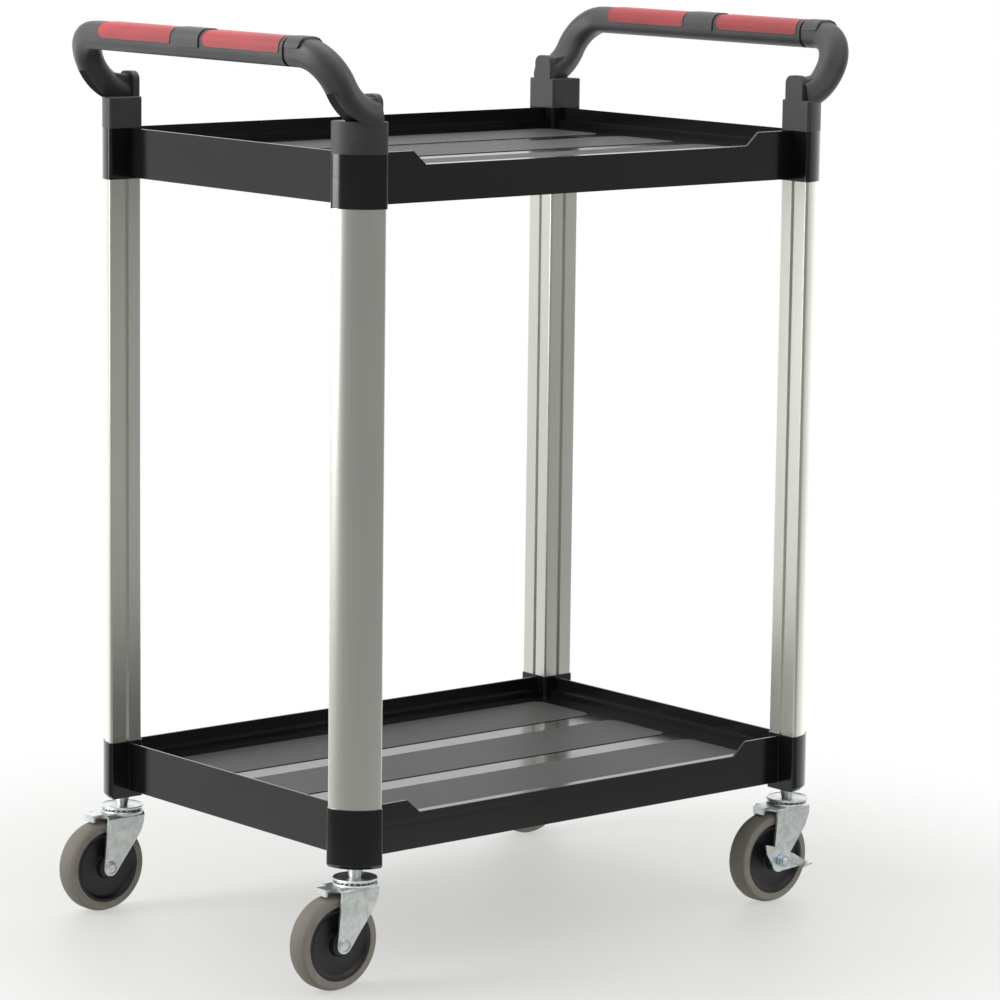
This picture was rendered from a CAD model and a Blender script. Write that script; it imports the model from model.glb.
"""Looks of the food service trolley, modelled round its packed frame."""

import contextlib
import math

import bmesh
import bpy
from bpy.props import FloatProperty, FloatVectorProperty, PointerProperty
from mathutils import Matrix, Vector


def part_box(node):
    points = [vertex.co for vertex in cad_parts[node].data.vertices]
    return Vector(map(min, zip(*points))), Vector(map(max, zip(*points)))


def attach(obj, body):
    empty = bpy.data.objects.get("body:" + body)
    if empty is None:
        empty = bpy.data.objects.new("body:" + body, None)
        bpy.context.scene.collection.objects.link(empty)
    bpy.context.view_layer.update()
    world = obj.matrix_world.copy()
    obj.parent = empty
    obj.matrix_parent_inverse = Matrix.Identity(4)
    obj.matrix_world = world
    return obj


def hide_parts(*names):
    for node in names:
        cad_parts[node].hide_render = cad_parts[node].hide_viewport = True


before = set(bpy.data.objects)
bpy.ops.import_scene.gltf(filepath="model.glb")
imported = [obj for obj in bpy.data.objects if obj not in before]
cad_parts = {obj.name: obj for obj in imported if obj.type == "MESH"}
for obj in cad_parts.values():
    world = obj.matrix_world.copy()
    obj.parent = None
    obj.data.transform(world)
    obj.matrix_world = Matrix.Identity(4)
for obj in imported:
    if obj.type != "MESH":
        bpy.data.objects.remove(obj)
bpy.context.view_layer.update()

bl_info = {
    "name": "Service Trolley",
    "version": (1, 0, 0),
    "blender": (4, 5, 0),
    "location": "View3D > Sidebar > Trolley",
    "description": "Models and finishes a two-shelf service trolley round its packed frame",
    "category": "Add Mesh",
}

MM = 0.001
CORNERS = {"front_left": (-1, -1), "front_right": (1, -1), "rear_left": (-1, 1), "rear_right": (1, 1)}
BRAKED = ("front_right", "rear_right")
TRAYS = ("lower", "upper")
ENDS = {"left": -1, "right": 1}
UP = Vector((0, 0, 1))


# ---------------------------------------------------------------- places taken from the frame


def box_centre(node):
    low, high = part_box(node)
    return (low + high) / 2


def corner_at(corner):
    """The post centre of a corner, at floor level."""
    place = box_centre(corner + "_castor_stem")
    return Vector((place.x, place.y, 0))


def corner_matrix(corner):
    """Puts a shape drawn for the rear right corner, X and Y running outward, at any corner."""
    side_x, side_y = CORNERS[corner]
    return Matrix.Translation(corner_at(corner)) @ Matrix.Diagonal((side_x, side_y, 1, 1))


def post_span():
    """Heights of the lower and the upper end of the posts."""
    low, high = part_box("front_left_post")
    return low.z, high.z


# ---------------------------------------------------------------- sizes and colours


def length(name, millimetres, description):
    return FloatProperty(
        name=name, description=description, default=millimetres * MM, min=0, unit="LENGTH", precision=4
    )


def colour(name, value, description):
    return FloatVectorProperty(
        name=name, description=description, default=value, size=3, min=0, max=1, subtype="COLOR"
    )


def angle_setting(name, degrees, description):
    return FloatProperty(name=name, description=description, default=math.radians(degrees), subtype="ANGLE")


class TrolleyTraySizes(bpy.types.PropertyGroup):
    wall_height: length("Wall height", 52.6, "Height of the tray walls")
    ledge_height: length("Ledge height", 38.2, "Height of the ledge and of the lowered side")
    wall: length("Wall", 3, "Thickness of the moulded walls")
    rim: length("Rim", 10.6, "Width of the hollow rim below the ledge")
    reach: length("Reach", 1.9, "How far the walls stand outside the post centres")
    deck_height: length("Deck height", 30, "Height of the deck above the wall's bottom edge")
    deck: length("Deck", 3, "Thickness of the deck")
    notch_inset: length("Notch inset", 65.5, "Distance from the post centre to the lowered side")
    notch_run: length("Notch run", 18, "Run of the slope at each end of the lowered side")
    pad_width: length("Pad width", 96, "Width of each grained pad")
    pad_gap: length("Pad gap", 34, "Width of the smooth stripe between pads")
    pad_height: length("Pad height", 0.8, "Height of the pads above the deck")
    pad_margin: length("Pad margin", 28, "Smooth margin at each end of the pads")
    pad_radius: length("Pad radius", 14, "Corner radius of the pads")
    rib_pitch: length("Rib pitch", 68, "Largest distance between two ribs under the deck")
    rib: length("Rib", 2, "Thickness of the ribs")
    rib_clear: length("Rib clear", 6, "How far the ribs stop above the bottom edge")
    softness: length("Edge radius", 0.8, "Radius of the moulded edges")


class TrolleyPostSizes(bpy.types.PropertyGroup):
    radius: length("Outer radius", 40.6, "Radius of the quarter-round outside")
    flat_in: length("Flat inset", 15.5, "Distance in from the post centre to the two flat sides")
    groove: length("Groove", 5, "Width of the groove down each flat side")
    groove_depth: length("Groove depth", 2.6, "Depth of the grooves")
    groove_out: length("Groove offset", 4, "Distance out from the post centre to the grooves")
    corner: length("Corner radius", 2.5, "Radius of the section's corners")
    wall: length("Wall", 2.2, "Wall thickness of the extrusion")
    proud: length("Block proud", 1.2, "How far the corner blocks stand proud of the posts")
    chamfer: length("Block chamfer", 4.2, "Chamfer round the foot of the lower blocks")
    drop: length("Block drop", 8, "Depth of the lower blocks below the tray")
    upper_drop: length("Upper drop", 2, "Depth of the upper blocks below the tray")


class TrolleyHandleSizes(bpy.types.PropertyGroup):
    half: length("Bar half width", 15, "Half the width of the bar's section")
    corner: length("Section radius", 11, "Corner radius of the bar's section")
    socket: length("Socket", 33, "Height of the socket above the tray")
    elbow: length("Elbow", 38, "Radius of the elbow")
    arm_out: length("Arm offset", 9, "Distance out from the post centre to the plane of the arm")
    curve: length("Curve", 60, "Radius of the arm's outward curve")
    seam: length("Seam", 5, "Width of the groove between the halves")
    grip_proud: length("Grip proud", 0.8, "How far the grips stand proud of the bar")
    grip_drop: length("Grip drop", 1, "How far the grips reach below the middle of the bar")
    ear_width: length("Ear width", 26, "Width of the upright ear behind the arm")
    ear_radius: length("Ear radius", 9, "Radius of the ear's top corners")
    ear_out: length("Ear offset", 2.5, "Distance out from the post centre to the middle of the ear")
    ear: length("Ear", 8, "Thickness of the ear")
    ear_height: length("Ear height", 26.5, "Height of the ear above the socket")
    web: length("Web", 18, "Width of the web from the ear to the arm")
    low_angle: angle_setting("Low angle", 10, "Slope of the arm at the socket")
    high_angle: angle_setting("High angle", 62, "Slope of the arm at the elbow")


class TrolleyCastorSizes(bpy.types.PropertyGroup):
    wheel: length("Wheel radius", 50, "Outer radius of the tyre")
    tyre: length("Tyre width", 26, "Width of the tyre")
    hub: length("Centre radius", 39, "Radius of the wheel centre under the tyre")
    trail: length("Trail", 28, "Distance from the swivel axis back to the axle")
    gap: length("Fork gap", 34, "Clear width between the legs")
    plate: length("Plate", 2.5, "Thickness of the pressed plate")
    bend: length("Bend", 5, "Outer radius of the plate's bends")
    head: length("Head radius", 23.5, "Radius of the swivel head")
    foot: length("Foot radius", 9, "Radius of the legs' round ends")
    bolt: length("Bolt radius", 4, "Radius of the axle bolt")
    lever: length("Lever", 1.8, "Thickness of the brake lever")


class TrolleyFinish(bpy.types.PropertyGroup):
    tray: colour("Tray", (0.0062, 0.006, 0.0064), "Black moulding of the trays")
    pad: colour("Pad", (0.026, 0.026, 0.027), "Grained pads of the decks")
    handle: colour("Handle", (0.042, 0.042, 0.045), "Charcoal nylon of the handles")
    grip: colour("Grip", (0.36, 0.035, 0.04), "Soft red of the grips")
    aluminium: colour("Aluminium", (0.80, 0.81, 0.74), "Satin anodised posts")
    zinc: colour("Zinc", (0.72, 0.755, 0.74), "Zinc plate of the castors")
    nut: colour("Nut", (0.42, 0.53, 0.62), "Blue passivated nuts")
    steel: colour("Steel", (0.62, 0.62, 0.61), "Bright turned steel")
    hub: colour("Wheel centre", (0.006, 0.005, 0.008), "Black moulded wheel centres")
    tyre: colour("Tyre", (0.235, 0.215, 0.185), "Warm grey rubber of the tyres")
    floor: colour("Floor", (0.2, 0.2, 0.195), "Pale floor")


class TrolleyView(bpy.types.PropertyGroup):
    azimuth: angle_setting("Azimuth", -40.09, "Camera direction")
    elevation: angle_setting("Elevation", 9.06, "Camera height angle")
    roll: angle_setting("Roll", 0.71, "Camera roll")
    place: FloatVectorProperty(
        name="Place", description="Camera place", default=(-3.0387, -3.6771, 1.2112), subtype="TRANSLATION"
    )
    lens: FloatProperty(name="Lens", description="Focal length in millimetres", default=159.11, min=1)


class TrolleySettings(bpy.types.PropertyGroup):
    tray: PointerProperty(type=TrolleyTraySizes)
    post: PointerProperty(type=TrolleyPostSizes)
    handle: PointerProperty(type=TrolleyHandleSizes)
    castor: PointerProperty(type=TrolleyCastorSizes)
    finish: PointerProperty(type=TrolleyFinish)
    view: PointerProperty(type=TrolleyView)


def settings():
    return bpy.context.scene.trolley


# ---------------------------------------------------------------- modelling helpers


def only(piece):
    """Leaves one object selected and active, in object mode."""
    if bpy.context.mode != "OBJECT":
        bpy.ops.object.mode_set(mode="OBJECT")
    bpy.ops.object.select_all(action="DESELECT")
    piece.select_set(True)
    bpy.context.view_layer.objects.active = piece


@contextlib.contextmanager
def editing(piece):
    only(piece)
    bpy.ops.object.mode_set(mode="EDIT")
    bpy.ops.mesh.select_mode(type="VERT")
    bpy.ops.mesh.select_all(action="SELECT")
    yield
    bpy.ops.object.mode_set(mode="OBJECT")


def pick(piece, kind, test):
    """In edit mode, selects the faces, edges or verts that pass a test."""
    bpy.ops.mesh.select_mode(type={"faces": "FACE", "edges": "EDGE", "verts": "VERT"}[kind])
    bpy.ops.mesh.select_all(action="DESELECT")
    shape = bmesh.from_edit_mesh(piece.data)
    found = 0
    for item in getattr(shape, kind):
        if test(item):
            item.select_set(True)
            found += 1
    shape.select_flush_mode()
    bmesh.update_edit_mesh(piece.data)
    if not found:
        raise RuntimeError(f"nothing to select on {piece.name}")


def push(along):
    """In edit mode, extrudes the selection along a vector."""
    bpy.ops.mesh.extrude_region_move(TRANSFORM_OT_translate={"value": Vector(along)})


def fresh(name):
    """Names the object that an add operator has just made, with its place in its mesh."""
    piece = bpy.context.object
    piece.name = piece.data.name = name
    bpy.ops.object.transform_apply(location=True, rotation=True, scale=True)
    return piece


def add_block(name, low, high):
    bpy.ops.object.select_all(action="DESELECT")
    middle = (Vector(low) + Vector(high)) / 2
    bpy.ops.mesh.primitive_cube_add(size=1, location=middle, scale=Vector(high) - Vector(low))
    return fresh(name)


def trace(name, points, closed=True):
    """Draws an outline by extruding one vertex from point to point, and fills it if it closes."""
    bpy.ops.object.select_all(action="DESELECT")
    bpy.ops.mesh.primitive_plane_add(size=MM, location=points[0])
    piece = fresh(name)
    path = list(points) + ([points[0]] if closed else [])
    with editing(piece):
        bpy.ops.mesh.merge(type="CENTER")
        for here, there in zip(path, path[1:]):
            push(Vector(there) - Vector(here))
        bpy.ops.mesh.select_all(action="SELECT")
        bpy.ops.mesh.remove_doubles(threshold=1e-6)
        if closed:
            bpy.ops.mesh.edge_face_add()
    return piece


def outward(piece):
    with editing(piece):
        bpy.ops.mesh.remove_doubles(threshold=1e-6)
        bpy.ops.mesh.normals_make_consistent(inside=False)


def prism(name, points, along):
    """A solid with this outline, extruded along a vector."""
    piece = trace(name, points)
    with editing(piece):
        push(along)
    outward(piece)
    return piece


def lathe(name, points, centre, axis, steps=96):
    """A closed outline spun round an axis. Points are (radius, place along the axis)."""
    axis = Vector(axis).normalized()
    across = axis.orthogonal().normalized()
    places = [Vector(centre) + across * r + axis * h for r, h in points]
    piece = trace(name, places + places[:1], closed=False)
    with editing(piece):
        bpy.ops.mesh.spin(steps=steps, dupli=False, angle=math.tau, center=centre, axis=axis)
    outward(piece)
    return piece


def apply_modifier(piece, kind, **values):
    only(piece)
    bpy.ops.object.modifier_add(type=kind)
    modifier = piece.modifiers[-1]
    for name, value in values.items():
        setattr(modifier, name, value)
    bpy.ops.object.modifier_apply(modifier=modifier.name)


def soften(piece, width, segments=2, angle=35):
    """Rounds every edge that is sharper than an angle."""
    apply_modifier(
        piece, "BEVEL", width=width, segments=segments, limit_method="ANGLE",
        angle_limit=math.radians(angle), use_clamp_overlap=True, harden_normals=False,
    )


def combine(piece, tool, operation):
    """Adds, cuts or intersects one solid with another, which is used up."""
    apply_modifier(piece, "BOOLEAN", object=tool, operation=operation, solver="EXACT")
    bpy.data.objects.remove(tool)


def join(piece, others):
    only(piece)
    for other in others:
        other.select_set(True)
    bpy.ops.object.join()
    return piece


def smooth(piece, angle=40):
    """Shades round faces smoothly and keeps large flat faces flat."""
    only(piece)
    bpy.ops.object.shade_smooth_by_angle(angle=math.radians(angle))
    apply_modifier(piece, "WEIGHTED_NORMAL", weight=100, keep_sharp=True)


def placed_copy(piece, name, matrix):
    """A copy with its own mesh, moved into place."""
    only(piece)
    bpy.ops.object.duplicate()
    copy = bpy.context.object
    copy.name = copy.data.name = name
    copy.matrix_world = matrix
    bpy.ops.object.transform_apply(location=True, rotation=True, scale=True)
    if matrix.determinant() < 0:
        outward(copy)
    return copy


def finished(piece, material, body, replaces=()):
    """Gives a piece its material and says which body it moves with and what it stands for."""
    if material and not piece.data.materials:
        piece.data.materials.append(material)
    smooth(piece)
    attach(piece, body)
    if replaces:
        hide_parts(*replaces)
    return piece


def arc(centre, radius, start, end, count):
    """Points (x, y) along an arc, angles in degrees."""
    turns = [math.radians(start + (end - start) * i / count) for i in range(count + 1)]
    return [(centre[0] + radius * math.cos(t), centre[1] + radius * math.sin(t)) for t in turns]


# ---------------------------------------------------------------- outlines


def quarter_outline(grow, corner, groove=0, steps=40):
    """Quarter-round about its inner corner, grown evenly, with rounded corners and side grooves."""
    size = settings().post
    centre, outer, flat = -size.flat_in, size.radius + grow, -size.flat_in - grow
    lift = corner - grow
    tilt = math.degrees(math.asin(lift / (outer - corner)))
    tip = centre + math.sqrt((outer - corner) ** 2 - lift**2)
    low, high = size.groove_out - size.groove / 2 + grow, size.groove_out + size.groove / 2 - grow
    floor = -size.flat_in + groove - grow
    down = [(flat, high), (floor, high), (floor, low), (flat, low)] if groove else []
    return [
        *arc((centre, centre), outer, tilt, 90 - tilt, steps),
        *arc((flat + corner, tip), corner, 90 - tilt, 180, 5)[1:],
        *down,
        *arc((flat + corner, flat + corner), corner, 180, 270, 5),
        *[(x, y) for y, x in down[::-1]],
        *arc((tip, flat + corner), corner, 270, 360 + tilt, 5)[:-1],
    ]


def block_outline():
    """Section of a corner block: as a post, a little larger and without the grooves."""
    size = settings().post
    return quarter_outline(size.proud, size.corner + size.proud)


def bar_outline(half, corner, steps=5):
    """Rounded square section of the bar, in the X-Z plane."""
    points = []
    for quarter, (sx, sz) in enumerate(((1, 1), (-1, 1), (-1, -1), (1, -1))):
        centre = (sx * (half - corner), sz * (half - corner))
        points += arc(centre, corner, quarter * 90, quarter * 90 + 90, steps)
    return points


# ---------------------------------------------------------------- trays


def tray_shell(base):
    """Walls, ledge, rim channel and deck, shaped from one block by insets and extrusions."""
    size = settings().tray
    corner = corner_at("rear_right")
    half = Vector((corner.x + size.reach, corner.y + size.reach, 0))
    shell = add_block("tray", -half + UP * base, half + UP * (base + size.wall_height))
    bottom = base + MM / 2
    with editing(shell):
        pick(shell, "faces", lambda f: f.normal.z > 0.9)
        bpy.ops.mesh.inset(thickness=size.wall)
        push(UP * (size.ledge_height - size.wall_height))
        bpy.ops.mesh.inset(thickness=size.rim - size.wall)
        push(UP * (size.deck_height - size.ledge_height))
        pick(shell, "faces", lambda f: f.normal.z < -0.9 and f.calc_center_median().z < bottom)
        bpy.ops.mesh.inset(thickness=size.wall)
        bpy.ops.mesh.inset(thickness=size.rim - 2 * size.wall)
        bpy.ops.mesh.inset(thickness=size.wall)
        push(UP * (size.deck_height - size.deck))
        inner = half - Vector((size.wall, size.wall, 0))
        outer_edge = half - Vector((size.rim - size.wall, size.rim - size.wall, 0))

        def in_channel(face):
            middle = face.calc_center_median()
            reach_x, reach_y = abs(middle.x), abs(middle.y)
            flat = face.normal.z < -0.9 and middle.z < bottom
            on_x = outer_edge.x < reach_x < inner.x
            on_y = outer_edge.y < reach_y < inner.y
            return flat and (on_x or on_y)

        pick(shell, "faces", in_channel)
        push(UP * (size.ledge_height - size.wall))
    return shell


def notch_tool(base):
    """The solid that lowers the front side between its two slopes."""
    size = settings().tray
    corner = corner_at("rear_right")
    low_half = corner.x - size.notch_inset - size.notch_run
    front = -corner.y - size.reach
    ledge, top = base + size.ledge_height, base + size.wall_height + MM
    high_half = low_half + size.notch_run
    outline = [(-low_half, ledge), (low_half, ledge), (high_half, top), (-high_half, top)]
    places = [(x, front - MM, z) for x, z in outline]
    return prism("notch", places, (0, size.wall + 2 * MM, 0))


def corner_block(base, drop, top, chamfer):
    """One corner block for the rear right corner, its curved side tapered at the foot."""
    size = settings().post
    low = base - drop
    block = prism("block", [(x, y, low) for x, y in block_outline()], UP * (top - low))
    if chamfer:
        foot, height = size.radius + size.proud - chamfer, top - low + 2 * MM
        cone = [(0, -MM), (foot - MM, -MM), (foot + height, height), (0, height)]
        taper = lathe("taper", cone, (-size.flat_in, -size.flat_in, low), UP)
        combine(block, taper, "INTERSECT")
    return block


def deck_pads(base):
    """Three rounded pads with softened edges, a little proud of the deck."""
    size = settings().tray
    half_x = corner_at("rear_right").x + size.reach - size.rim - size.pad_margin
    top = base + size.deck_height
    pads = []
    for row in (-1, 0, 1):
        middle = row * (size.pad_width + size.pad_gap)
        low = (-half_x, middle - size.pad_width / 2, top - MM)
        high = (half_x, middle + size.pad_width / 2, top + size.pad_height)
        pad = add_block("pad", low, high)
        with editing(pad):
            pick(pad, "edges", lambda e: abs((e.verts[0].co - e.verts[1].co).normalized().z) > 0.9)
            bpy.ops.mesh.bevel(offset=size.pad_radius, segments=8, affect="EDGES")
            pick(pad, "faces", lambda f: f.normal.z > 0.9)
            bpy.ops.mesh.bevel(offset=0.5 * MM, segments=2, affect="EDGES")
        pads.append(pad)
    return pads


def tray_ribs(base):
    """Crossing ribs under the deck."""
    size = settings().tray
    corner = corner_at("rear_right")
    half_x, half_y = (c + size.reach - size.rim + size.wall / 2 for c in corner.xy)
    low, high = base + size.rib_clear, base + size.deck_height - size.deck / 2
    ribs = []
    for half, other, is_x in ((half_x, half_y, True), (half_y, half_x, False)):
        count = math.ceil(2 * half / size.rib_pitch)
        for i in range(1, count):
            at = -half + 2 * half * i / count
            a = Vector((at - size.rib / 2, -other, low))
            b = Vector((at + size.rib / 2, other, high))
            if not is_x:
                a.xy, b.xy = (a.y, a.x), (b.y, b.x)
            ribs.append(add_block("rib", a, b))
    return ribs


def build_tray(which, plastic, grain):
    size, post = settings().tray, settings().post
    low_end, high_end = post_span()
    if which == "lower":
        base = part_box("lower_shelf")[0].z + post.drop
        drop, top, chamfer = post.drop, low_end, post.chamfer
    else:
        base = high_end + post.upper_drop
        drop, top, chamfer = post.upper_drop, base + size.wall_height, 0
    tray = tray_shell(base)
    combine(tray, notch_tool(base), "DIFFERENCE")
    block = corner_block(base, drop, top, chamfer)
    for corner in CORNERS:
        combine(tray, placed_copy(block, "block copy", corner_matrix(corner)), "UNION")
    bpy.data.objects.remove(block)
    soften(tray, size.softness)
    tray.data.materials.clear()
    tray.data.materials.append(plastic)
    ribs = tray_ribs(base)
    pads = deck_pads(base)
    for rib in ribs:
        rib.data.materials.append(plastic)
    for pad in pads:
        pad.data.materials.append(grain)
    join(tray, ribs + pads)
    tray.name = tray.data.name = which + "_tray"
    finished(tray, None, "trolley", [which + "_shelf"])


def build_trays(plastic, grain):
    for which in TRAYS:
        build_tray(which, plastic, grain)


# ---------------------------------------------------------------- posts


def build_posts(material):
    """One extruded post with its hollow inside, copied to the four corners."""
    size = settings().post
    low, high = post_span()
    outside = quarter_outline(0, size.corner, size.groove_depth)
    inside = quarter_outline(-size.wall, 0.8 * MM, size.groove_depth)
    post = prism("post", [(x, y, low) for x, y in outside], UP * (high - low))
    hollow = prism("hollow", [(x, y, low - MM) for x, y in inside], UP * (high - low + 2 * MM))
    combine(post, hollow, "DIFFERENCE")
    soften(post, 0.35 * MM, angle=30)
    for corner in CORNERS:
        copy = placed_copy(post, corner + "_extrusion", corner_matrix(corner))
        finished(copy, material, "trolley", [corner + "_post"])
    bpy.data.objects.remove(post)


# ---------------------------------------------------------------- handles


class HandlePlaces:
    """Where the right handle's bar, elbows and sockets lie, worked out from the frame."""

    def __init__(self):
        size = settings().handle
        self.corner = corner_at("rear_right")
        self.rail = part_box("right_handle_long_half")[0].z
        grip_low, grip_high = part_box("right_front_grip")
        self.bar = Vector(((grip_low.x + grip_high.x) / 2, 0, grip_low.z + size.grip_drop))
        self.front_grip = (grip_low.y, grip_high.y)
        rear_low, rear_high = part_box("right_rear_grip")
        self.rear_grip = (rear_low.y, rear_high.y)
        rise = Vector((math.cos(size.high_angle), 0, math.sin(size.high_angle)))
        self.rise = rise
        self.elbow_low = self.bar - rise * size.elbow
        self.curve_centre = self.elbow_low - Vector((rise.z, 0, -rise.x)) * size.curve
        self.seam = self.front_grip[0] - 7.8 * MM
        self.arm_y = self.corner.y + size.arm_out
        self.socket_top = self.rail + size.socket


def swept_arm(name, start):
    """The bar from the seam to one end, round its elbow and down the outward curve, for the +Y end."""
    size, at = settings().handle, HandlePlaces()
    outline = bar_outline(size.half, size.corner)
    arm = trace(name, [(at.bar.x + x, start, at.bar.z + z) for x, z in outline])
    straight = at.arm_y - size.elbow - start
    elbow_centre = at.elbow_low + Vector((0, at.arm_y - size.elbow, 0))
    curve_centre = at.curve_centre + Vector((0, at.arm_y, 0))
    with editing(arm):
        push((0, straight, 0))
        inner_side = Vector((at.rise.z, 0, -at.rise.x))
        bpy.ops.mesh.spin(steps=18, dupli=False, angle=math.pi / 2, center=elbow_centre, axis=inner_side)
        swing = size.high_angle - size.low_angle
        bpy.ops.mesh.spin(steps=16, dupli=False, angle=swing, center=curve_centre, axis=(0, -1, 0))
    outward(arm)
    return arm


def hollow_arm(arm):
    """Presses the moulded channel into the outer lower side of the arm's curve."""
    size, at = settings().handle, HandlePlaces()
    first, last = size.low_angle + math.radians(14), size.high_angle + math.radians(2)

    def on_outer_side(face):
        middle = face.calc_center_median()
        away = Vector((middle.x - at.curve_centre.x, 0, middle.z - at.curve_centre.z))
        on_curve = first < math.atan2(away.x, -away.z) < last
        return on_curve and face.normal.dot(away.normalized()) > 0.8 and middle.y > at.arm_y - size.half

    with editing(arm):
        pick(arm, "faces", on_outer_side)
        bpy.ops.mesh.inset(thickness=1.2 * MM)
        bpy.ops.mesh.inset(thickness=0.6 * MM, depth=-7 * MM)


def ear_parts():
    """The upright ear with its round corners and the web behind it, X and Y running outward."""
    size, post, at = settings().handle, settings().post, HandlePlaces()
    face, foot = -post.flat_in - post.proud, at.socket_top - 2 * MM
    top, half, radius = at.socket_top + size.ear_height, size.ear_width / 2, size.ear_radius
    outline = [
        (size.ear_out + half, foot),
        *arc((size.ear_out + half - radius, top - radius), radius, 0, 90, 8),
        *arc((size.ear_out - half + radius, top - radius), radius, 90, 180, 8),
        (size.ear_out - half, foot),
    ]
    ear = prism("ear", [(face, y, z) for y, z in outline], (size.ear, 0, 0))
    back = face + size.ear / 2
    arm_start = at.curve_centre.x - at.corner.x + size.curve * math.sin(size.low_angle)
    side = [
        (back, foot), (back, top - 4 * MM), (arm_start + 40 * MM, top + 1.5 * MM),
        (arm_start + 32 * MM, at.socket_top + 14 * MM), (arm_start + 18 * MM, foot),
    ]
    web_side = size.ear_out + half - MM
    web = prism("web", [(x, web_side, z) for x, z in side], (0, -size.web, 0))
    soften(web, 2.5 * MM, 3)
    return ear, web


def socket_part(name):
    """Socket over the corner block, with the ear and its web, for the rear right corner."""
    size, at = settings().handle, HandlePlaces()
    socket = prism(name, [(x, y, at.rail) for x, y in block_outline()], UP * size.socket)
    with editing(socket):
        pick(socket, "faces", lambda f: f.normal.z > 0.9)
        bpy.ops.mesh.bevel(offset=1.5 * MM, segments=3, affect="EDGES")
    for extra in ear_parts():
        combine(socket, extra, "UNION")
    return placed_copy_and_drop(socket, name, corner_matrix("rear_right"))


def placed_copy_and_drop(piece, name, matrix):
    copy = placed_copy(piece, name, matrix)
    bpy.data.objects.remove(piece)
    return copy


def saddle(name, start, end, half, drop, thickness, front_round, rear_round):
    """A band over the top of the bar, its lower corners rounded in side view."""
    size, at = settings().handle, HandlePlaces()
    corner = size.corner + half - size.half
    outer = [p for p in bar_outline(half, corner, 8) if p[1] > -drop]
    outer = [(half, -drop)] + outer + [(-half, -drop)]
    inner_half = half - thickness
    inner = [p for p in bar_outline(inner_half, corner - thickness, 8) if p[1] > -drop]
    inner = [(inner_half, -drop)] + inner + [(-inner_half, -drop)]
    outline = outer + inner[::-1]
    band = prism(name, [(at.bar.x + x, start, at.bar.z + z) for x, z in outline], (0, end - start, 0))
    low, high = at.bar.z - drop, at.bar.z + half
    side = [
        *arc((start + front_round, low + front_round), front_round, 180, 270, 6),
        *arc((end - rear_round, low + rear_round), rear_round, 270, 360, 6),
        *arc((end - rear_round, high - rear_round), rear_round, 0, 90, 6),
        *arc((start + front_round, high - front_round), front_round, 90, 180, 6),
    ]
    reach = 2 * half
    tool = prism("side view", [(at.bar.x - reach, y, z) for y, z in side], (2 * reach, 0, 0))
    combine(band, tool, "INTERSECT")
    soften(band, 0.5 * MM, angle=30)
    return band


def handle_half(long_half):
    """One half of the right handle, made as a +Y end and turned over for the front."""
    size, at = settings().handle, HandlePlaces()
    name = "handle half"
    seam = at.seam + size.seam / 2 if long_half else -at.seam + size.seam / 2
    part = swept_arm(name, seam)
    hollow_arm(part)
    combine(part, socket_part("socket"), "UNION")
    soften(part, 0.6 * MM, angle=38)
    extras = []
    proud = size.half + 1.6 * MM
    if long_half:
        middle = (at.front_grip[1] + 6.7 * MM, at.rear_grip[0] - 5.7 * MM)
        extras.append(saddle("centre block", *middle, proud, 3 * MM, 4 * MM, 2 * MM, 2 * MM))
    else:
        start = -at.seam + size.seam / 2
        extras.append(saddle("end block", start, start + 23 * MM, proud, -5 * MM, 4 * MM, 1.5 * MM, 4 * MM))
        neck = bar_outline(size.half - 1.8 * MM, size.corner - 1.8 * MM)
        places = [(at.bar.x + x, start - size.seam - MM, at.bar.z + z) for x, z in neck]
        extras.append(prism("neck", places, (0, size.seam + 2 * MM, 0)))
    join(part, extras)
    return part


def build_handles(material):
    for long_half in (True, False):
        part = handle_half(long_half)
        kind = "long_half" if long_half else "short_half"
        turn = Matrix.Identity(4) if long_half else Matrix.Scale(-1, 4, (0, 1, 0))
        for end, side in ENDS.items():
            flip = Matrix.Scale(side, 4, (1, 0, 0)) if side < 0 else Matrix.Identity(4)
            copy = placed_copy(part, f"{end}_{kind}", flip @ turn)
            finished(copy, material, "trolley", [f"{end}_handle_{kind}"])
        bpy.data.objects.remove(part)


def build_grips(material):
    size, at = settings().handle, HandlePlaces()
    for name, span in (("front_grip", at.front_grip), ("rear_grip", at.rear_grip)):
        rear_round = 7.5 * MM
        band = saddle(name, *span, size.half + size.grip_proud, size.grip_drop, 2.2 * MM, 3 * MM, rear_round)
        for end, side in ENDS.items():
            flip = Matrix.Scale(-1, 4, (1, 0, 0)) if side < 0 else Matrix.Identity(4)
            copy = placed_copy(band, f"{end}_soft_{name}", flip)
            finished(copy, material, "trolley", [f"{end}_{name}"])
        bpy.data.objects.remove(band)


# ---------------------------------------------------------------- castors


def castor_matrix(corner):
    return Matrix.Translation(corner_at(corner))


def copies_at_castors(piece, name, material, body, corners=tuple(CORNERS)):
    """Copies a piece modelled at the origin to the castors and drops the model."""
    for corner in corners:
        copy = placed_copy(piece, f"{corner}_{name[0]}", castor_matrix(corner))
        finished(copy, material, body.format(corner), [f"{corner}_{name[1]}"])
    bpy.data.objects.remove(piece)


def leg_silhouette():
    """Side outline of the fork: (x, z), from the crown down to the round foot."""
    size = settings().castor
    top = crown_height() + MM
    back, front = -30.5 * MM, 17 * MM
    round_foot = arc((-size.trail, size.wheel), size.foot, 180, 327, 12)
    leading = [(front - 6 * MM, top - 24 * MM), (front - 1.5 * MM, top - 13 * MM), (front, top)]
    return [(back, top), *round_foot, *leading]


def crown_height():
    """Height of the crown's upper face."""
    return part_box("front_left_fork")[1].z


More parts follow.
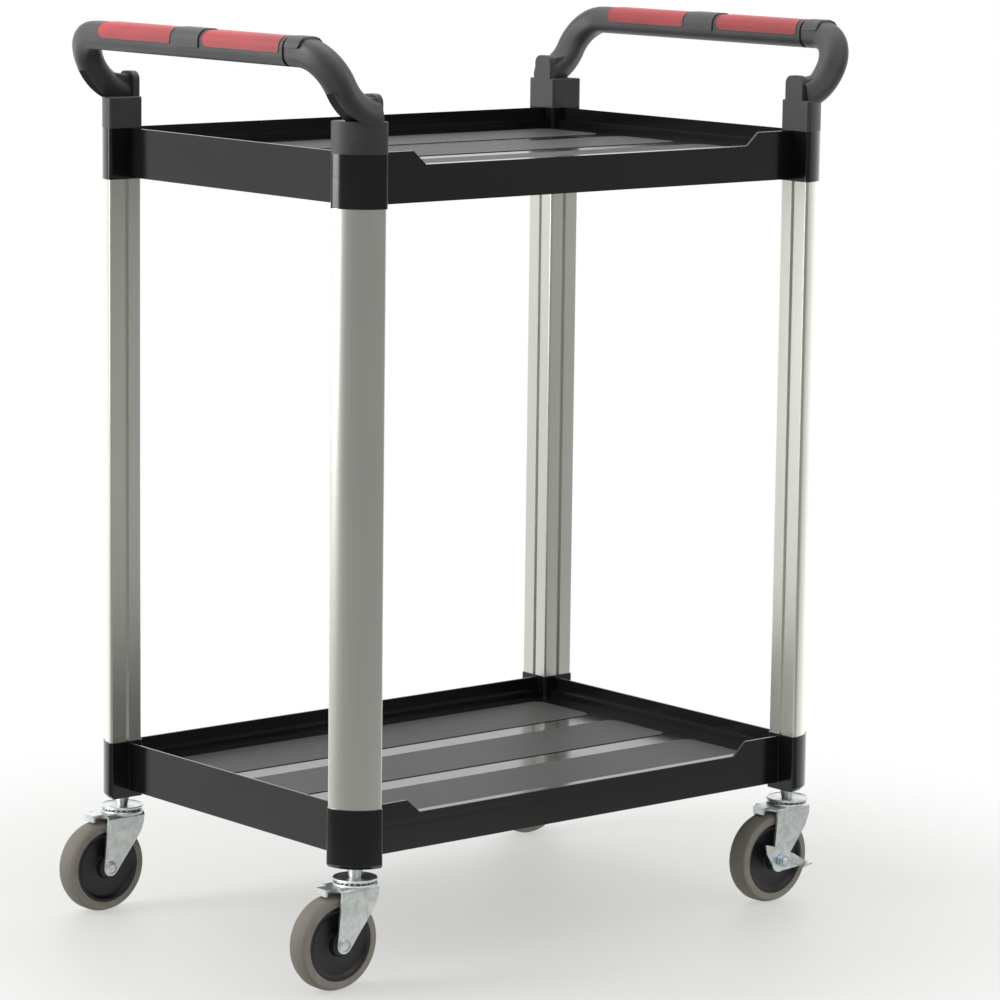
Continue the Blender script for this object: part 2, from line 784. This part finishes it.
def build_forks(material):
    """Bent plate cut to the side outline, with its raised head ring and the rear lug."""
    size = settings().castor
    top = crown_height()
    half, plate, bend = size.gap / 2 + size.plate, size.plate, size.bend
    foot = size.wheel - size.foot - MM
    outer = [
        (-half, foot), *arc((bend - half, top - bend), bend, 180, 90, 6),
        *arc((half - bend, top - bend), bend, 90, 0, 6), (half, foot),
    ]
    inner_half, inner_bend, under = half - plate, bend - plate, top - plate
    inner = [
        (inner_half, foot), *arc((inner_half - inner_bend, under - inner_bend), inner_bend, 0, 90, 6),
        *arc((inner_bend - inner_half, under - inner_bend), inner_bend, 90, 180, 6), (-inner_half, foot),
    ]
    fork = prism("fork", [(-50 * MM, y, z) for y, z in outer + inner], (80 * MM, 0, 0))
    side = prism("side view", [(x, -30 * MM, z) for x, z in leg_silhouette()], (0, 60 * MM, 0))
    combine(fork, side, "INTERSECT")
    opening = 17 * MM
    ring = [
        (opening, top - plate), (size.head - 0.6 * MM, top - plate), (size.head, top - plate + 0.6 * MM),
        (size.head, top + 0.4 * MM), (size.head - 1 * MM, top + 1.4 * MM),
        (size.head - 2.6 * MM, top + 1.4 * MM), (size.head - 3.8 * MM, top), (opening, top),
    ]
    head = lathe("head", ring, (0, 0, 0), UP, 72)
    lug_x, lug_half = -44 * MM, 8 * MM
    lug = add_block("lug", (lug_x, -lug_half, top - plate), (-18 * MM, lug_half, top))
    turned = add_block("lug end", (lug_x, -lug_half, top - 7.5 * MM), (lug_x + plate, lug_half, top - MM))
    combine(lug, turned, "UNION")
    combine(fork, lug, "UNION")
    combine(fork, head, "UNION")
    soften(fork, 0.5 * MM, angle=32)
    copies_at_castors(fork, ("pressed_fork", "fork"), material, "{}_swivel")


def build_swivel_heads(zinc):
    """Stem with its flared neck and riveted pin, and the dished upper race."""
    size = settings().castor
    cup_low, cup_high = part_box("front_left_bearing_cup")
    stem_low, stem_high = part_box("front_left_castor_stem")
    neck_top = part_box("lower_shelf")[0].z
    floor, rim, pin = cup_low.z, cup_high.z, 5 * MM
    thread, flare, rivet = 6 * MM, 8.6 * MM, 8 * MM
    plate = 1.6 * MM
    stem = lathe("stem", [
        (0, stem_low.z), (rivet - 1.4 * MM, stem_low.z), (rivet, stem_low.z + 1.2 * MM),
        (rivet, stem_low.z + 2.4 * MM), (pin, stem_low.z + 2.4 * MM), (pin, floor + plate),
        (thread, floor + plate), (thread + 0.6 * MM, floor + 4 * MM), (flare - 0.5 * MM, neck_top - 2 * MM),
        (flare, neck_top - 1.2 * MM), (flare, neck_top), (thread, neck_top),
        (thread, stem_high.z - MM), (thread - MM, stem_high.z), (0, stem_high.z),
    ], (0, 0, 0), UP, 48)
    copies_at_castors(stem, ("threaded_stem", "castor_stem"), zinc, "trolley")
    outer, inner = size.head, pin + 0.05 * MM
    cup = lathe("cup", [
        (inner, floor), (outer - 2.2 * MM, floor), (outer - 0.7 * MM, floor + 0.5 * MM),
        (outer, floor + 1.8 * MM), (outer, rim - 0.6 * MM), (outer - 0.6 * MM, rim),
        (outer - 1.2 * MM, rim), (outer - 1.7 * MM, rim - 0.6 * MM), (outer - 2.0 * MM, floor + 2.2 * MM),
        (outer - 3.6 * MM, floor + plate), (inner, floor + plate),
    ], (0, 0, 0), UP, 72)
    copies_at_castors(cup, ("upper_race", "bearing_cup"), zinc, "trolley")


def build_axles(zinc, blue):
    """Flush riveted axles on the free castors, and bolts with nuts on the braked ones."""
    size = settings().castor
    outside = size.gap / 2 + size.plate
    free = [corner for corner in CORNERS if corner not in BRAKED]
    centre = (-size.trail, 0, size.wheel)
    along = Vector((0, 1, 0))
    bolt, dome = size.bolt, size.bolt + 2.8 * MM
    rear = [
        (dome, outside), (dome, outside + 1.2 * MM), (dome - 1.2 * MM, outside + 2.4 * MM),
        (0, outside + 2.5 * MM),
    ]
    rivet = lathe("rivet", [
        (0, -outside - 0.9 * MM), (2 * MM, -outside - 0.9 * MM), (2.6 * MM, -outside - 1.6 * MM),
        (4.6 * MM, -outside - 1.6 * MM), (5.6 * MM, -outside - 0.9 * MM), (5.8 * MM, -outside),
        (bolt, -outside), (bolt, outside), *rear,
    ], centre, along, 32)
    copies_at_castors(rivet, ("axle_rivet", "axle_bolt"), zinc, "{}_swivel", free)
    washer = lathe("washer", [
        (6 * MM, -outside), (7.4 * MM, -outside), (7.4 * MM, -outside - 0.9 * MM),
        (6.8 * MM, -outside - 1.4 * MM), (6 * MM, -outside - 1.4 * MM),
    ], centre, along, 32)
    copies_at_castors(washer, ("axle_washer", "axle_nut"), zinc, "{}_swivel", free)
    bolt_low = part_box("front_right_axle_bolt")[0].y - corner_at("front_right").y
    shank = [(0, bolt_low), (bolt - MM, bolt_low), (bolt, bolt_low + MM), (bolt, outside)]
    long_bolt = lathe("bolt", shank + rear, centre, along, 32)
    copies_at_castors(long_bolt, ("axle_bolt_long", "axle_bolt"), zinc, "{}_swivel", BRAKED)
    nut_low, nut_high = (v.y - corner_at("front_right").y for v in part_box("front_right_axle_nut"))
    bpy.ops.object.select_all(action="DESELECT")
    bpy.ops.mesh.primitive_cylinder_add(
        vertices=6, radius=7.5 * MM, depth=nut_high - nut_low,
        location=(centre[0], (nut_low + nut_high) / 2, centre[2]), rotation=(math.pi / 2, 0, 0),
    )
    nut = fresh("nut")
    cone = [
        (0, nut_low), (6.3 * MM, nut_low), (8.2 * MM, nut_low + 1.6 * MM), (8.2 * MM, nut_high),
        (0, nut_high),
    ]
    combine(nut, lathe("cone", cone, centre, along, 32), "INTERSECT")
    bore = [(0, nut_low - MM), (bolt, nut_low - MM), (bolt, nut_high + MM), (0, nut_high + MM)]
    combine(nut, lathe("bore", bore, centre, along, 32), "DIFFERENCE")
    soften(nut, 0.25 * MM, angle=30)
    copies_at_castors(nut, ("lock_nut", "axle_nut"), blue, "{}_swivel", BRAKED)


def build_wheels(plastic, rubber):
    size = settings().castor
    centre, along = (-size.trail, 0, size.wheel), Vector((0, 1, 0))
    half, hub, wheel = size.tyre / 2, size.hub, size.wheel
    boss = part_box("front_left_wheel_centre")[1].y - corner_at("front_left").y
    bore = 6.05 * MM
    side = [
        (bore, boss), (11.6 * MM, boss), (12.4 * MM, boss - 0.8 * MM), (13.4 * MM, half - 3.4 * MM),
        (14.6 * MM, half - 4.2 * MM), (24 * MM, half - 4.8 * MM), (hub - 7 * MM, half - 4.2 * MM),
        (hub - 5.2 * MM, half - 3.2 * MM), (hub - 3.6 * MM, half - 1.2 * MM),
        (hub - 2.6 * MM, half - 0.7 * MM), (hub - 0.6 * MM, half - 0.7 * MM), (hub, half - 1.3 * MM),
    ]
    outline = side + [(r, -h) for r, h in side[::-1]]
    middle = lathe("middle", outline, centre, along, 96)
    copies_at_castors(middle, ("wheel_disc", "wheel_centre"), plastic, "{}_wheel")
    shoulder = arc((wheel - 6.5 * MM, half - 5 * MM), 5 * MM, 78, 12, 6)
    tread = [(wheel - 0.15 * MM, half - 7.5 * MM), (wheel, 0)]
    edge = [(hub, half - 0.4 * MM), (hub + 0.5 * MM, half), (hub + 2.2 * MM, half)]
    profile = edge + shoulder + tread
    outline = profile + [(r, -h) for r, h in profile[-2::-1]]
    tyre = lathe("tyre", outline, centre, along, 128)
    copies_at_castors(tyre, ("rubber_tyre", "tyre"), rubber, "{}_wheel")


def build_levers(zinc):
    """Stamped cam lever on the axle, with the toe plate bent outward."""
    size = settings().castor
    low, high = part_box("front_right_brake_lever")
    place = corner_at("front_right")
    face = high.y - place.y
    axle = Vector((-size.trail, face, size.wheel))
    outline = [
        (-23, 20), (-21, 9), (-13, -3), *arc((-2, -2), 11, 215, 290, 5),
        (24, -11), (34, -9), (36.5, -7.5), (36, -5.5), (21, 4), (4, 11), (-12, 17),
    ]
    plate = prism("plate", [axle + Vector((x * MM, 0, z * MM)) for x, z in outline], (0, -size.lever, 0))
    toe_start = axle + Vector((24, 0, -9.5)) * MM
    toe_side = [(0, 0, 0), (0, 0, 1.8), (12.6, 0, 4), (13, 0, 2.2)]
    toe = prism("toe", [toe_start + Vector(p) * MM for p in toe_side], (0, low.y - high.y, 0))
    combine(plate, toe, "UNION")
    hole = size.bolt + 0.06 * MM
    bore = [(0, -MM), (hole, -MM), (hole, 3 * MM), (0, 3 * MM)]
    combine(plate, lathe("bore", bore, axle, (0, -1, 0), 32), "DIFFERENCE")
    soften(plate, 0.35 * MM, angle=32)
    copies_at_castors(plate, ("cam_lever", "brake_lever"), zinc, "{}_brake", BRAKED)


def finish_fittings(steel):
    """Gives the fittings that stay as they are in the frame their bright steel."""
    per_corner = [corner + part for corner in CORNERS for part in ("_bearing_balls", "_axle_bush")]
    for node in ["castor_sockets", "handle_screws", "handle_joint_screws", *per_corner]:
        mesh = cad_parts[node].data
        mesh.materials.clear()
        mesh.materials.append(steel)


# ---------------------------------------------------------------- materials


class Wire:
    """A socket that can be used in arithmetic; each expression adds its Math nodes."""

    def __init__(self, finish, socket):
        self.finish, self.socket = finish, socket

    def _math(self, operation, other=None, first=None):
        values = [self if first is None else first, self if first is not None else other]
        values = [v for v in values if v is not None]
        return self.finish.node("ShaderNodeMath", {"operation": operation}, dict(enumerate(values)))

    def __add__(self, other):
        return self._math("ADD", other)

    def __radd__(self, other):
        return self._math("ADD", first=other)

    def __sub__(self, other):
        return self._math("SUBTRACT", other)

    def __rsub__(self, other):
        return self._math("SUBTRACT", first=other)

    def __mul__(self, other):
        return self._math("MULTIPLY", other)

    def __rmul__(self, other):
        return self._math("MULTIPLY", first=other)

    def __truediv__(self, other):
        return self._math("DIVIDE", other)

    def __pow__(self, other):
        return self._math("POWER", other)

    def __abs__(self):
        return self._math("ABSOLUTE")

    def step(self, low, high):
        """0 below low, 1 above high, smooth between."""
        limits = {"Value": self, "From Min": low, "From Max": high}
        return self.finish.node("ShaderNodeMapRange", {"interpolation_type": "SMOOTHSTEP"}, limits)


class Nodes:
    """A node tree and one way to add to it."""

    def __init__(self, owner):
        owner.use_nodes = True
        self.tree = owner.node_tree

    def own(self, kind):
        """The node of this type that the tree came with."""
        return next(n for n in self.tree.nodes if n.type == kind)

    def link(self, value, socket):
        """Links a wire to a socket, or sets the socket's value."""
        if isinstance(value, Wire):
            self.tree.links.new(value.socket, socket)
        elif socket.type == "RGBA" and len(value) == 3:
            socket.default_value = (*value, 1.0)
        else:
            socket.default_value = value

    def node(self, kind, settings=None, inputs=None, output=0):
        """Adds a node, sets it up, links or fills its inputs, and returns one output."""
        made = self.tree.nodes.new(kind)
        for name, value in (settings or {}).items():
            setattr(made, name, value)
        for name, value in (inputs or {}).items():
            self.link(value, made.inputs[name])
        return Wire(self, made.outputs[output])

    def blend(self, factor, first, second):
        """Mixes two colours by a factor."""
        mix = self.tree.nodes.new("ShaderNodeMix")
        mix.data_type = "RGBA"
        sockets = [s for s in mix.inputs if s.enabled]
        for socket, value in zip(sockets, (factor, first, second)):
            self.link(value, socket)
        return Wire(self, next(s for s in mix.outputs if s.enabled))

    def parts(self, vector):
        """The X, Y and Z of a vector."""
        split = self.node("ShaderNodeSeparateXYZ", inputs={0: vector})
        return [Wire(self, socket) for socket in split.socket.node.outputs]


class Finish(Nodes):
    """A new material and the nodes in it."""

    def __init__(self, name):
        self.material = bpy.data.materials.new(name)
        super().__init__(self.material)
        self.shader = self.own("BSDF_PRINCIPLED")
        self.place = self.node("ShaderNodeTexCoord", output="Object")

    def stretched(self, scale):
        return self.node("ShaderNodeMapping", inputs={"Vector": self.place, "Scale": scale})

    def noise(self, scale, detail=2.0, roughness=0.5, vector=None, distortion=0.0):
        inputs = {
            "Vector": vector or self.place, "Scale": scale, "Detail": detail, "Roughness": roughness,
            "Distortion": distortion,
        }
        return self.node("ShaderNodeTexNoise", inputs=inputs)

    def bump(self, height, strength, distance, normal=None):
        inputs = {"Height": height, "Strength": strength, "Distance": distance}
        if normal:
            inputs["Normal"] = normal
        return self.node("ShaderNodeBump", inputs=inputs)

    def set(self, **values):
        """Sets or links the shader's inputs; underscores stand for spaces."""
        for name, value in values.items():
            self.link(value, self.shader.inputs[name.replace("_", " ")])
        return self.material


def tinted(base, factor):
    return tuple(min(1.0, c * factor) for c in base)


def tray_plastic():
    """Black moulding: satin skin, fine orange peel, a faint sink line where the deck meets the walls."""
    base, size, post = settings().finish.tray, settings().tray, settings().post
    finish = Finish("tray plastic")
    peel = finish.noise(900, 2.0)
    broad = finish.noise(7, 3.0, 0.6)
    scuffs = finish.noise(60, 4.0, 0.7, finish.stretched((1, 1, 6)))
    height = finish.parts(finish.place)[2]
    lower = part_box("lower_shelf")[0].z + post.drop + size.deck_height - size.deck / 2
    upper = post_span()[1] + post.upper_drop + size.deck_height - size.deck / 2
    sink = 1 - (abs(height - lower)).step(0.0005, 0.0035) + 1 - (abs(height - upper)).step(0.0005, 0.0035)
    colour_map = finish.blend(broad.step(0.3, 0.75), tinted(base, 0.8), tinted(base, 1.35))
    normal = finish.bump(peel, 0.08, 0.0004)
    normal = finish.bump(sink * -1, 0.12, 0.0003, normal)
    rough = 0.12 + broad * 0.04 + scuffs * 0.04
    return finish.set(Base_Color=colour_map, Roughness=rough, Normal=normal, IOR=1.5)


def pad_grain():
    """Fine stipple of the deck pads, a little dusty grey."""
    base = settings().finish.pad
    finish = Finish("deck grain")
    grain = finish.noise(1500, 2.0, 0.6)
    coarse = finish.noise(420, 2.0, 0.5)
    wear = finish.noise(9, 4.0, 0.6, finish.stretched((0.6, 1.6, 1)))
    tone = finish.blend(wear.step(0.3, 0.75), tinted(base, 0.8), tinted(base, 1.25))
    speck = finish.blend(grain.step(0.35, 0.7), tinted(base, 0.7), tinted(base, 1.5))
    colour_map = finish.blend(0.5, tone, speck)
    normal = finish.bump(grain * 0.6 + coarse * 0.4, 0.5, 0.0004)
    return finish.set(Base_Color=colour_map, Roughness=0.46 + wear * 0.12, Normal=normal, IOR=1.42)


def handle_nylon():
    """Charcoal nylon with a fine spark-eroded grain."""
    base = settings().finish.handle
    finish = Finish("handle nylon")
    grain = finish.noise(1400, 2.0, 0.6)
    broad = finish.noise(18, 3.0, 0.6)
    colour_map = finish.blend(broad.step(0.3, 0.7), tinted(base, 0.85), tinted(base, 1.2))
    speck = finish.blend(grain.step(0.4, 0.8), colour_map, tinted(base, 1.4))
    normal = finish.bump(grain, 0.3, 0.0003)
    return finish.set(Base_Color=speck, Roughness=0.42 + broad * 0.1, Normal=normal)


def grip_rubber():
    """Soft red overmould, slightly lighter and smoother where hands rub it."""
    base = settings().finish.grip
    finish = Finish("grip rubber")
    grain = finish.noise(1600, 2.0, 0.55)
    rub = finish.noise(22, 3.0, 0.6, finish.stretched((1, 0.4, 1)))
    colour_map = finish.blend(rub.step(0.3, 0.75), tinted(base, 0.85), tinted(base, 1.18))
    normal = finish.bump(grain, 0.25, 0.0003)
    return finish.set(Base_Color=colour_map, Roughness=0.36 + rub * 0.14, Normal=normal)


def satin_aluminium():
    """Anodised extrusion: long die lines, soft tonal drift."""
    base = settings().finish.aluminium
    finish = Finish("satin aluminium")
    lines = finish.noise(900, 2.0, 0.6, finish.stretched((1, 1, 0.004)))
    fine = finish.noise(2600, 1.0, 0.5, finish.stretched((1, 1, 0.01)))
    drift = finish.noise(5, 2.0, 0.5, finish.stretched((1, 1, 0.5)))
    colour_map = finish.blend(drift.step(0.3, 0.7), tinted(base, 0.94), tinted(base, 1.05))
    colour_map = finish.blend(lines.step(0.35, 0.75) * 0.35, colour_map, tinted(base, 0.86))
    normal = finish.bump(lines * 0.6 + fine * 0.4, 0.12, 0.0002)
    return finish.set(Base_Color=colour_map, Metallic=1.0, Roughness=0.28 + lines * 0.06, Normal=normal)


def zinc_plate():
    """Zinc plated pressing: cloudy passivation and faint rolling lines."""
    base = settings().finish.zinc
    finish = Finish("zinc plate")
    cloud = finish.noise(90, 4.0, 0.65, distortion=0.6)
    streak = finish.noise(500, 2.0, 0.6, finish.stretched((1, 1, 0.08)))
    colour_map = finish.blend(cloud.step(0.3, 0.7), tinted(base, 0.82), tinted(base, 1.14))
    normal = finish.bump(cloud * 0.7 + streak * 0.3, 0.15, 0.0003)
    return finish.set(Base_Color=colour_map, Metallic=1.0, Roughness=0.3 + cloud * 0.16, Normal=normal)


def metal(name, base, roughness, scale):
    """Plain turned or plated steel with small irregularities."""
    finish = Finish(name)
    cloud = finish.noise(scale, 3.0, 0.6)
    colour_map = finish.blend(cloud.step(0.3, 0.7), tinted(base, 0.85), tinted(base, 1.12))
    normal = finish.bump(cloud, 0.1, 0.0002)
    return finish.set(Base_Color=colour_map, Metallic=1.0, Roughness=roughness + cloud * 0.12, Normal=normal)


def wheel_nylon():
    """Black moulded nylon with faint flow marks."""
    base = settings().finish.hub
    finish = Finish("wheel nylon")
    flow = finish.noise(45, 3.0, 0.6, distortion=1.2)
    peel = finish.noise(1100, 1.0, 0.5)
    colour_map = finish.blend(flow.step(0.3, 0.7), tinted(base, 0.8), tinted(base, 1.5))
    normal = finish.bump(peel, 0.1, 0.0003)
    return finish.set(Base_Color=colour_map, Roughness=0.3 + flow * 0.15, Normal=normal)


def tyre_rubber():
    """Warm grey rubber, mottled, a little dirtier round the tread."""
    base = settings().finish.tyre
    finish = Finish("tyre rubber")
    mottle = finish.noise(70, 4.0, 0.65)
    grain = finish.noise(1300, 2.0, 0.6)
    dirt = finish.noise(24, 4.0, 0.7)
    colour_map = finish.blend(mottle.step(0.3, 0.7), tinted(base, 0.9), tinted(base, 1.12))
    facing = finish.parts(finish.node("ShaderNodeTexCoord", output="Normal"))[1]
    colour_map = finish.blend(abs(facing).step(0.55, 0.95), tinted(base, 0.62), colour_map)
    colour_map = finish.blend(dirt.step(0.5, 0.85) * 0.4, colour_map, tinted(base, 0.6))
    normal = finish.bump(grain * 0.6 + mottle * 0.4, 0.3, 0.0004)
    return finish.set(Base_Color=colour_map, Roughness=0.62 + mottle * 0.15, Normal=normal)


MATERIALS = {}


def make_materials():
    colours = settings().finish
    MATERIALS.update({
        "tray": tray_plastic(),
        "pad": pad_grain(),
        "handle": handle_nylon(),
        "grip": grip_rubber(),
        "aluminium": satin_aluminium(),
        "zinc": zinc_plate(),
        "nut": metal("blue zinc", colours.nut, 0.25, 160),
        "steel": metal("turned steel", colours.steel, 0.22, 240),
        "hub": wheel_nylon(),
        "tyre": tyre_rubber(),
    })


# ---------------------------------------------------------------- stage


def floor_material():
    """Pale matte floor that fades into the white surround far from the object."""
    finish = Finish("pale floor")
    cloud = finish.noise(2.2, 3.0, 0.5)
    base = settings().finish.floor
    colour_map = finish.blend(cloud.step(0.3, 0.7), tinted(base, 0.985), tinted(base, 1.01))
    glow = {"Emission_Color": (1, 1, 0.98), "Emission_Strength": 0.5}
    material = finish.set(Base_Color=colour_map, Roughness=0.6, **glow)
    length_of = {"operation": "LENGTH"}
    distance = finish.node("ShaderNodeVectorMath", length_of, {0: finish.place}, output="Value")
    clear = finish.node("ShaderNodeBsdfTransparent")
    shader = Wire(finish, finish.shader.outputs[0])
    mixed = finish.node("ShaderNodeMixShader", inputs={0: distance.step(0.42, 0.95), 1: shader, 2: clear})
    finish.link(mixed, finish.own("OUTPUT_MATERIAL").inputs["Surface"])
    return material


def area_light(name, place, target, size, power, tint=(1, 1, 1)):
    bpy.ops.object.light_add(type="AREA", location=place)
    lamp = bpy.context.object
    lamp.name = name
    lamp.data.shape = "RECTANGLE"
    lamp.data.size, lamp.data.size_y = size
    lamp.data.energy = power
    lamp.data.color = tint
    lamp.rotation_euler = (Vector(target) - Vector(place)).to_track_quat("-Z", "Y").to_euler()
    return lamp


def white_surround():
    """White to the camera; to everything else a room that is bright behind and dark in front."""
    world = bpy.data.worlds.new("white surround")
    nodes = Nodes(world)
    across, along, up = nodes.parts(nodes.node("ShaderNodeTexCoord", output="Generated"))
    behind = (across * 0.64 + along * 0.77).step(-0.35, 0.9)
    overhead = up.step(0.25, 0.8)
    room = nodes.blend(behind, (0.28, 0.28, 0.28), (1.4, 1.4, 1.4))
    room = nodes.blend(overhead, room, (0.85, 0.85, 0.85))
    seen = nodes.node("ShaderNodeLightPath", output="Is Camera Ray")
    nodes.link(nodes.blend(seen, room, (1, 1, 1)), nodes.own("BACKGROUND").inputs["Color"])
    bpy.context.scene.world = world


def build_camera():
    view = settings().view
    back = Vector((
        math.sin(view.azimuth) * math.cos(view.elevation),
        -math.cos(view.azimuth) * math.cos(view.elevation),
        math.sin(view.elevation),
    ))
    right = (-back).cross(UP).normalized()
    up = right.cross(-back)
    turned_right = right * math.cos(view.roll) + up * math.sin(view.roll)
    turned_up = up * math.cos(view.roll) - right * math.sin(view.roll)
    data = bpy.data.cameras.new("camera")
    data.lens, data.sensor_width = view.lens, 36
    data.clip_end = 50
    camera = bpy.data.objects.new("camera", data)
    bpy.context.collection.objects.link(camera)
    matrix = Matrix((turned_right, turned_up, back)).transposed().to_4x4()
    camera.matrix_world = Matrix.Translation(view.place) @ matrix
    bpy.context.scene.camera = camera


def build_floor():
    bpy.ops.object.select_all(action="DESELECT")
    bpy.ops.mesh.primitive_grid_add(x_subdivisions=8, y_subdivisions=8, size=9, location=(0, 0, 0))
    floor = fresh("floor")
    floor.data.materials.append(floor_material())


# ---------------------------------------------------------------- operators


def operator(idname, label, text, build, *materials):
    """An operator class that models one group of pieces with the named materials."""

    def execute(self, context):
        build(*(MATERIALS[key] for key in materials))
        return {"FINISHED"}

    name = "TROLLEY_OT_" + idname
    members = {"bl_idname": "trolley." + idname, "bl_label": label, "__doc__": text, "execute": execute}
    return type(name, (bpy.types.Operator,), members)


OPERATORS = (
    operator("materials", "Finishes", "Make the materials", make_materials),
    operator("trays", "Trays", "Model the two moulded trays", build_trays, "tray", "pad"),
    operator("posts", "Posts", "Model the four extruded posts", build_posts, "aluminium"),
    operator("handles", "Handles", "Model the halves of both handles", build_handles, "handle"),
    operator("grips", "Grips", "Model the four soft grips", build_grips, "grip"),
    operator("forks", "Forks", "Model the pressed castor forks", build_forks, "zinc"),
    operator("heads", "Swivel heads", "Model the stems and upper races", build_swivel_heads, "zinc"),
    operator("axles", "Axles", "Model the axle rivets, bolts and nuts", build_axles, "zinc", "nut"),
    operator("wheels", "Wheels", "Model the wheel centres and tyres", build_wheels, "hub", "tyre"),
    operator("levers", "Brake levers", "Model the brake levers", build_levers, "zinc"),
    operator("fittings", "Fittings", "Finish the fittings kept from the frame", finish_fittings, "steel"),
)


class TROLLEY_OT_stage(bpy.types.Operator):
    """Make the floor, the lights and the camera"""

    bl_idname = "trolley.stage"
    bl_label = "Stage"

    def execute(self, context):
        build_floor()
        white_surround()
        area_light("key", (-2.7, 1.2, 1.7), (0, 0, 0.5), (1.2, 2.8), 85)
        area_light("front", (0.4, -3.2, 2.6), (0, 0, 0.5), (2.4, 1.6), 14)
        area_light("top", (0.2, 0.4, 3.0), (0, 0, 0.5), (3.0, 3.0), 30)
        build_camera()
        context.scene.view_settings.view_transform = "Standard"
        return {"FINISHED"}


class TROLLEY_PT_panel(bpy.types.Panel):
    """Lists the trolley's operators"""

    bl_label = "Service Trolley"
    bl_idname = "TROLLEY_PT_panel"
    bl_space_type = "VIEW_3D"
    bl_region_type = "UI"
    bl_category = "Trolley"

    def draw(self, context):
        for kind in (*OPERATORS, TROLLEY_OT_stage):
            self.layout.operator(kind.bl_idname)


CLASSES = (
    TrolleyTraySizes, TrolleyPostSizes, TrolleyHandleSizes, TrolleyCastorSizes, TrolleyFinish, TrolleyView,
    TrolleySettings, *OPERATORS, TROLLEY_OT_stage, TROLLEY_PT_panel,
)


def register():
    for kind in CLASSES:
        bpy.utils.register_class(kind)
    bpy.types.Scene.trolley = PointerProperty(type=TrolleySettings)


def unregister():
    del bpy.types.Scene.trolley
    for kind in reversed(CLASSES):
        bpy.utils.unregister_class(kind)


def main():
    register()
    for kind in (*OPERATORS, TROLLEY_OT_stage):
        group, name = kind.bl_idname.split(".")
        getattr(getattr(bpy.ops, group), name)()
    bpy.ops.object.select_all(action="DESELECT")


if __name__ == "__main__":
    main()
